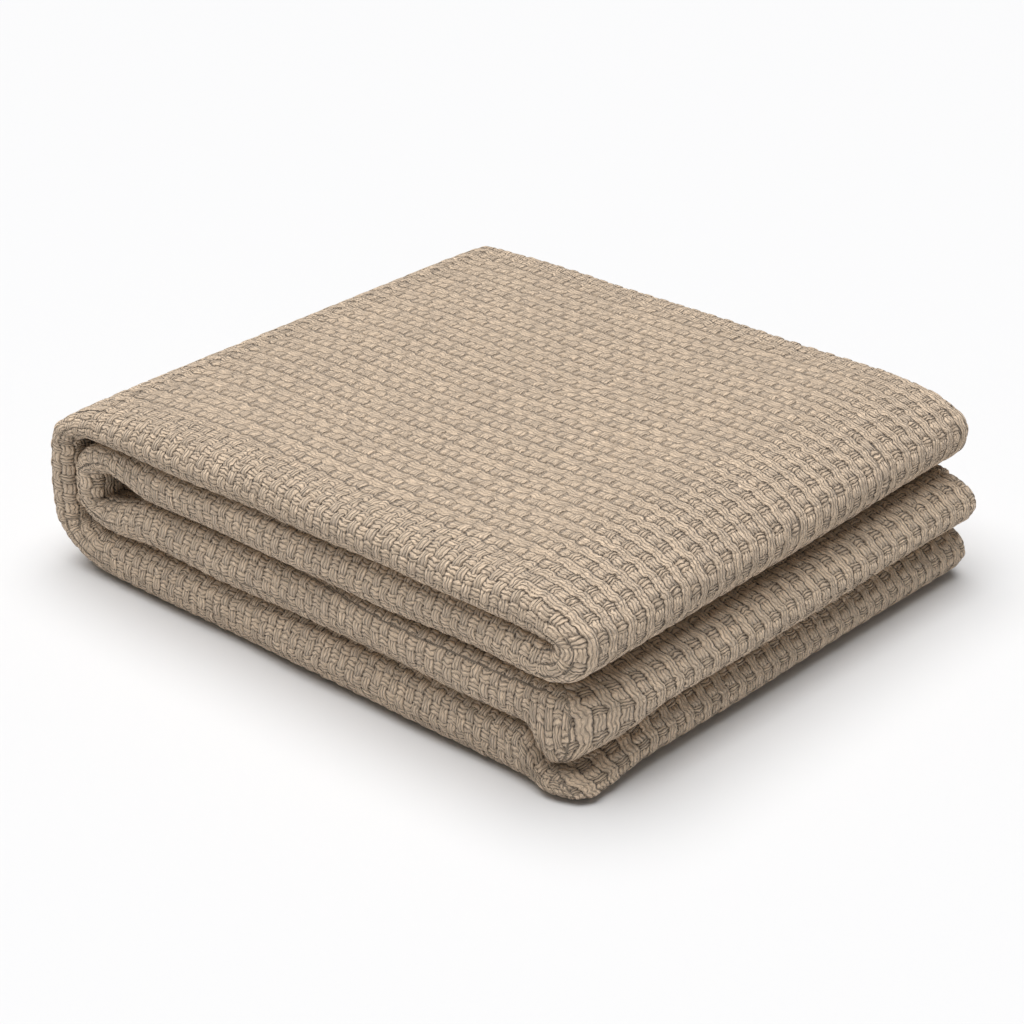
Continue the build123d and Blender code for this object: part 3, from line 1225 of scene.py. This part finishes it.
class THROW_OT_outer_turn(bpy.types.Operator):
    """Make the outer turn of the closed fold: a wall and its two corners"""

    bl_idname = "throw.outer_turn"
    bl_label = "Outer turn"

    def execute(self, context):
        strip = Strip()
        step = throw_weave().cell_along / turn_steps
        table = four_plies(turn_hem_y, 264, front_roll_points, 14, 1.0)
        turns = (("outer_wall", "fold_wall"), ("lower_outer_bend", None), ("upper_outer_bend", None))
        for node, body in turns:
            add_span(strip, node, body, table, step, 1.0, 0.0)
        lower = bpy.data.objects["lower_outer_bend_cloth"]
        upper = bpy.data.objects["upper_outer_bend_cloth"]
        bend_over(lower)
        bend_over(upper)
        return {"FINISHED"}


class THROW_OT_inner_turn(bpy.types.Operator):
    """Make the inner turn of the closed fold: a wall and its two corners"""

    bl_idname = "throw.inner_turn"
    bl_label = "Inner turn"

    def execute(self, context):
        strip = Strip()
        step = throw_weave().cell_along / turn_steps
        table = four_plies(turn_hem_y, 120, front_roll_points, 12, 1.0)
        turns = (("inner_wall", "fold_wall"), ("lower_inner_bend", None), ("upper_inner_bend", None))
        for node, body in turns:
            add_span(strip, node, body, table, step, 0.8, 0.0)
        lower = bpy.data.objects["lower_inner_bend_cloth"]
        upper = bpy.data.objects["upper_inner_bend_cloth"]
        bend_over(lower)
        bend_over(upper)
        return {"FINISHED"}


class THROW_OT_right_fold(bpy.types.Operator):
    """Make the turn that joins the top and second layers"""

    bl_idname = "throw.right_fold"
    bl_label = "Right fold"

    def execute(self, context):
        strip = Strip()
        step = throw_weave().cell_along / fine_steps
        table = four_plies(turn_hem_y, 288, front_roll_points, 14, 1.0)
        add_span(strip, "right_fold", "upper_half", table, step, 1.0, 1.0)
        return {"FINISHED"}


class THROW_OT_end_hems(bpy.types.Operator):
    """Make the two short hems, turned under at the strip's free ends"""

    bl_idname = "throw.end_hems"
    bl_label = "End hems"

    def execute(self, context):
        strip = Strip()
        step = throw_weave().cell_along / fine_steps
        width = back_y - front_y
        for node, at_start in (("bottom_end_hem", True), ("third_end_hem", False)):
            obj = rolled_end(strip, node + "_cloth", node, at_start, step)
            dress(obj, node, "lower_half", (end_hem_cloth, width))
        return {"FINISHED"}


class THROW_OT_edge_hems(bpy.types.Operator):
    """Make the two long hems that lie on each other at the back of each layer"""

    bl_idname = "throw.edge_hems"
    bl_label = "Long hems"

    def execute(self, context):
        strip = Strip()
        step = throw_weave().cell_along / coarse_steps
        hems = (("bottom", "lower_half"), ("third", "lower_half"), ("second", "upper_half"),
                ("top", "upper_half"))
        for layer, body in hems:
            pair = [sweep(strip, f"{layer}_{place}_hem", layer + "_layer", turned_hem(w, w + 0.5),
                          step, 0.9, 0.0)
                    for place, w in (("outer", -1.0), ("inner", -0.5))]
            obj = join_pieces(pair, layer + "_edge_hems_cloth")
            width = 2 * (edge_hem_end_y - edge_hem_y)
            flat = (span_length(strip, layer + "_layer"), width)
            dress(obj, layer + "_edge_hems", body, flat)
        return {"FINISHED"}


def join_pieces(pieces, name):
    """Several meshes made one object."""
    with bpy.context.temp_override(active_object=pieces[0], selected_editable_objects=pieces):
        bpy.ops.object.join()
    pieces[0].name = name
    return pieces[0]


def stitch_tree():
    """Geometry nodes: a stitch repeated along a line."""
    tree = bpy.data.node_groups.new("Hem stitches", "GeometryNodeTree")
    for name, kind, direction in (
            ("Line", "NodeSocketGeometry", "INPUT"), ("Spacing", "NodeSocketFloat", "INPUT"),
            ("Length", "NodeSocketFloat", "INPUT"), ("Thickness", "NodeSocketFloat", "INPUT"),
            ("Seed", "NodeSocketInt", "INPUT"), ("Thread", "NodeSocketMaterial", "INPUT"),
            ("Stitches", "NodeSocketGeometry", "OUTPUT")):
        tree.interface.new_socket(name=name, in_out=direction, socket_type=kind)
    start = tree.nodes.new("NodeGroupInput")
    end = tree.nodes.new("NodeGroupOutput")
    curve = tree.nodes.new("GeometryNodeMeshToCurve")
    resample = tree.nodes.new("GeometryNodeResampleCurve")
    resample.mode = "LENGTH"
    stitch = tree.nodes.new("GeometryNodeMeshCylinder")
    stitch.inputs["Vertices"].default_value = 6
    stitch.inputs["Side Segments"].default_value = 3
    tilt = tree.nodes.new("FunctionNodeRandomValue")
    tilt.data_type = "FLOAT_VECTOR"
    tilt.inputs["Min"].default_value = (0.0, math.radians(84), -0.12)
    tilt.inputs["Max"].default_value = (0.0, math.radians(98), 0.12)
    place = tree.nodes.new("GeometryNodeInstanceOnPoints")
    realize = tree.nodes.new("GeometryNodeRealizeInstances")
    material = tree.nodes.new("GeometryNodeSetMaterial")
    links = (
        (start.outputs["Line"], curve.inputs["Mesh"]),
        (curve.outputs["Curve"], resample.inputs["Curve"]),
        (start.outputs["Spacing"], resample.inputs["Length"]),
        (start.outputs["Length"], stitch.inputs["Depth"]),
        (start.outputs["Thickness"], stitch.inputs["Radius"]),
        (start.outputs["Seed"], tilt.inputs["Seed"]),
        (resample.outputs["Curve"], place.inputs["Points"]),
        (stitch.outputs["Mesh"], place.inputs["Instance"]),
        (tilt.outputs["Value"], place.inputs["Rotation"]),
        (place.outputs["Instances"], realize.inputs["Geometry"]),
        (realize.outputs["Geometry"], material.inputs["Geometry"]),
        (start.outputs["Thread"], material.inputs["Material"]),
        (material.outputs["Geometry"], end.inputs["Stitches"]),
    )
    for source, target in links:
        tree.links.new(source, target)
    return tree


def thread_lines(strip, name, spans):
    """A mesh of lines where the hem thread runs, two for each layer."""
    points = []
    edges = []
    for span in spans:
        places = strip.stations(span, 0.006)[1:-1]
        roll, hem = strip.faces(places)
        for w in (-0.75, -0.25):
            middle = hem + (roll - hem) * (w + 1) / 2
            y = np.full(len(places), edge_hem_y - thread_channel / 2)
            run = settle(np.stack([middle[:, 0], y, middle[:, 1]], -1))[1:-1]
            edges += [(len(points) + i, len(points) + i + 1) for i in range(len(run) - 1)]
            points += run.tolist()
    mesh = bpy.data.meshes.new(name + "_line")
    mesh.from_pydata(points, edges, [])
    obj = bpy.data.objects.new(name + "_line", mesh)
    bpy.context.scene.collection.objects.link(obj)
    return obj


class THROW_OT_hem_stitches(bpy.types.Operator):
    """Sew the long hems with a running stitch"""

    bl_idname = "throw.hem_stitches"
    bl_label = "Hem stitches"

    def execute(self, context):
        strip = Strip()
        tree = stitch_tree()
        values = {"Spacing": 0.0046, "Length": 0.0040, "Thickness": 0.0005,
                  "Seed": throw_weave().seed, "Thread": sewing_thread()}
        groups = (("lower_hem_thread", "lower_half", ("bottom_layer", "third_layer")),
                  ("upper_hem_thread", "upper_half", ("second_layer", "top_layer")))
        for node, body, spans in groups:
            guide = thread_lines(strip, node, spans)
            obj = plain_result(guide, tree, values, node + "_stitches")
            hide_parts(node)
            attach(obj, body)
        return {"FINISHED"}


def plain_result(guide, tree, values, name):
    """Runs a node tree on a guide object and keeps its result as a plain mesh."""
    modifier = guide.modifiers.new(tree.name, "NODES")
    modifier.node_group = tree
    for item in tree.interface.items_tree:
        if item.item_type == "SOCKET" and item.in_out == "INPUT" and item.name in values:
            modifier[item.identifier] = values[item.name]
    bpy.context.view_layer.update()
    depsgraph = bpy.context.evaluated_depsgraph_get()
    mesh = bpy.data.meshes.new_from_object(guide.evaluated_get(depsgraph), depsgraph=depsgraph)
    mesh.name = name
    obj = bpy.data.objects.new(name, mesh)
    bpy.context.scene.collection.objects.link(obj)
    bpy.data.objects.remove(guide)
    for polygon in mesh.polygons:
        polygon.use_smooth = len(polygon.vertices) == 4
    return obj


def label_loop(corner, opposite):
    """The label's section as y, z: down its inner face and back up its outer, swollen face."""
    down, thick = 18, 0.0004
    share_z = np.linspace(0, 1, down)
    loop = []
    for side in (0, 1):
        for k in range(down):
            way = share_z[k] if side == 0 else share_z[down - 1 - k]
            swell = 0.0011 * math.sin(math.pi * way) + 0.0003 * math.sin(9 * way)
            out = thick + (swell if side else swell * 0.2)
            loop.append((opposite.y + 0.0004 + out - (0 if side else thick),
                         opposite.z - (opposite.z - corner.z) * way))
    return np.array(loop)


class THROW_OT_care_label(bpy.types.Operator):
    """Make the blank care label: a ribbon folded double, sewn into a hem"""

    bl_idname = "throw.care_label"
    bl_label = "Care label"

    def execute(self, context):
        corner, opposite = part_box("care_label")
        share_x = np.linspace(0, 1, 25)
        x = corner.x + (opposite.x - corner.x) * share_x
        loop = label_loop(corner, opposite)
        points = np.zeros((len(x), len(loop), 3))
        points[..., 0] = x[:, None]
        points[..., 1] = loop[None, :, 0] + 0.0003 * np.sin(x * 320)[:, None]
        points[..., 2] = loop[None, :, 1]
        u = np.broadcast_to(share_x[:, None] * 60, points.shape[:2])
        v = np.broadcast_to(np.linspace(0, 80, len(loop))[None, :], points.shape[:2])
        none = np.zeros(points.shape[:2])
        grid = [points, u, v, none, none, none]
        obj = grid_object("care_label_ribbon", grid)
        recalculate(obj.data)
        obj.data.materials.append(label_ribbon())
        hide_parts("care_label")
        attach(obj, "lower_half")
        return {"FINISHED"}


def recalculate(mesh):
    work = bmesh.new()
    work.from_mesh(mesh)
    bmesh.ops.recalc_face_normals(work, faces=work.faces)
    work.to_mesh(mesh)
    work.free()


# ---- stage ----


def floor_material():
    material = bpy.data.materials.new("Pale floor")
    material.use_nodes = True
    shader = material.node_tree.nodes["Principled BSDF"]
    shader.inputs["Base Color"].default_value = (0.815, 0.815, 0.82, 1)
    shader.inputs["Roughness"].default_value = 0.9
    shader.inputs["Specular IOR Level"].default_value = 0.1
    return material


def add_floor():
    mesh = bpy.data.meshes.new("floor")
    reach = 12.0
    corners = [(-reach, -reach, 0), (reach, -reach, 0), (reach, reach, 0), (-reach, reach, 0)]
    mesh.from_pydata(corners, [], [(0, 1, 2, 3)])
    mesh.materials.append(floor_material())
    plane = bpy.data.objects.new("floor", mesh)
    bpy.context.scene.collection.objects.link(plane)


def add_sun(name, towards, strength, spread):
    """A broad, even light. spread is how wide it looks from the floor, in degrees."""
    lamp = bpy.data.lights.new(name, "SUN")
    lamp.energy = strength
    lamp.angle = math.radians(spread)
    obj = bpy.data.objects.new(name, lamp)
    obj.rotation_euler = Vector(towards).to_track_quat("-Z", "Y").to_euler()
    bpy.context.scene.collection.objects.link(obj)


def add_world(strength):
    world = bpy.data.worlds.new("soft room")
    world.use_nodes = True
    background = world.node_tree.nodes["Background"]
    background.inputs["Color"].default_value = (1.0, 1.0, 1.0, 1.0)
    background.inputs["Strength"].default_value = strength
    bpy.context.scene.world = world


def add_camera():
    """A long lens, three-quarter view from the open ends' side."""
    turn, tilt, reach = math.radians(41.56), math.radians(26.74), 1.351
    aim = Vector((-0.0466, 0.0484, 0.0))
    back = Vector((math.sin(turn) * math.cos(tilt), -math.cos(turn) * math.cos(tilt), math.sin(tilt)))
    camera = bpy.data.cameras.new("camera")
    camera.lens = 82.4
    camera.sensor_width = 36
    obj = bpy.data.objects.new("camera", camera)
    obj.location = aim + back * reach
    obj.rotation_euler = (-back).to_track_quat("-Z", "Y").to_euler()
    bpy.context.scene.collection.objects.link(obj)
    bpy.context.scene.camera = obj


class THROW_OT_stage(bpy.types.Operator):
    """Set the pale floor, soft lights and camera"""

    bl_idname = "throw.stage"
    bl_label = "Stage"

    def execute(self, context):
        context.scene.view_settings.view_transform = "Standard"
        add_floor()
        add_world(0.16)
        add_sun("key", (0.13, 0.02, -1.0), 3.30, 66)
        add_camera()
        return {"FINISHED"}


class THROW_PT_panel(bpy.types.Panel):
    """Sizes, colours and the steps that build the throw"""

    bl_label = "Folded throw"
    bl_idname = "THROW_PT_panel"
    bl_space_type = "VIEW_3D"
    bl_region_type = "UI"
    bl_category = "Throw"

    def draw(self, context):
        layout = self.layout
        for group in ("throw_weave", "throw_drape", "throw_colours"):
            settings = getattr(context.scene, group)
            box = layout.box()
            for name in settings.bl_rna.properties.keys():
                if name not in ("rna_type", "name"):
                    box.prop(settings, name)
        for operator in STEPS:
            layout.operator(operator.bl_idname)


STEPS = (
    THROW_OT_stage,
    THROW_OT_layers,
    THROW_OT_outer_turn,
    THROW_OT_inner_turn,
    THROW_OT_right_fold,
    THROW_OT_end_hems,
    THROW_OT_edge_hems,
    THROW_OT_hem_stitches,
    THROW_OT_care_label,
)
CLASSES = (ThrowWeave, ThrowDrape, ThrowColours, *STEPS, THROW_PT_panel)


def register():
    for item in CLASSES:
        bpy.utils.register_class(item)
    bpy.types.Scene.throw_weave = PointerProperty(type=ThrowWeave)
    bpy.types.Scene.throw_drape = PointerProperty(type=ThrowDrape)
    bpy.types.Scene.throw_colours = PointerProperty(type=ThrowColours)


def unregister():
    for name in ("throw_weave", "throw_drape", "throw_colours"):
        delattr(bpy.types.Scene, name)
    for item in reversed(CLASSES):
        bpy.utils.unregister_class(item)


def main():
    register()
    bpy.ops.throw.stage()
    bpy.ops.throw.layers()
    bpy.ops.throw.outer_turn()
    bpy.ops.throw.inner_turn()
    bpy.ops.throw.right_fold()
    bpy.ops.throw.end_hems()
    bpy.ops.throw.edge_hems()
    bpy.ops.throw.hem_stitches()
    bpy.ops.throw.care_label()


if __name__ == "__main__":
    main()
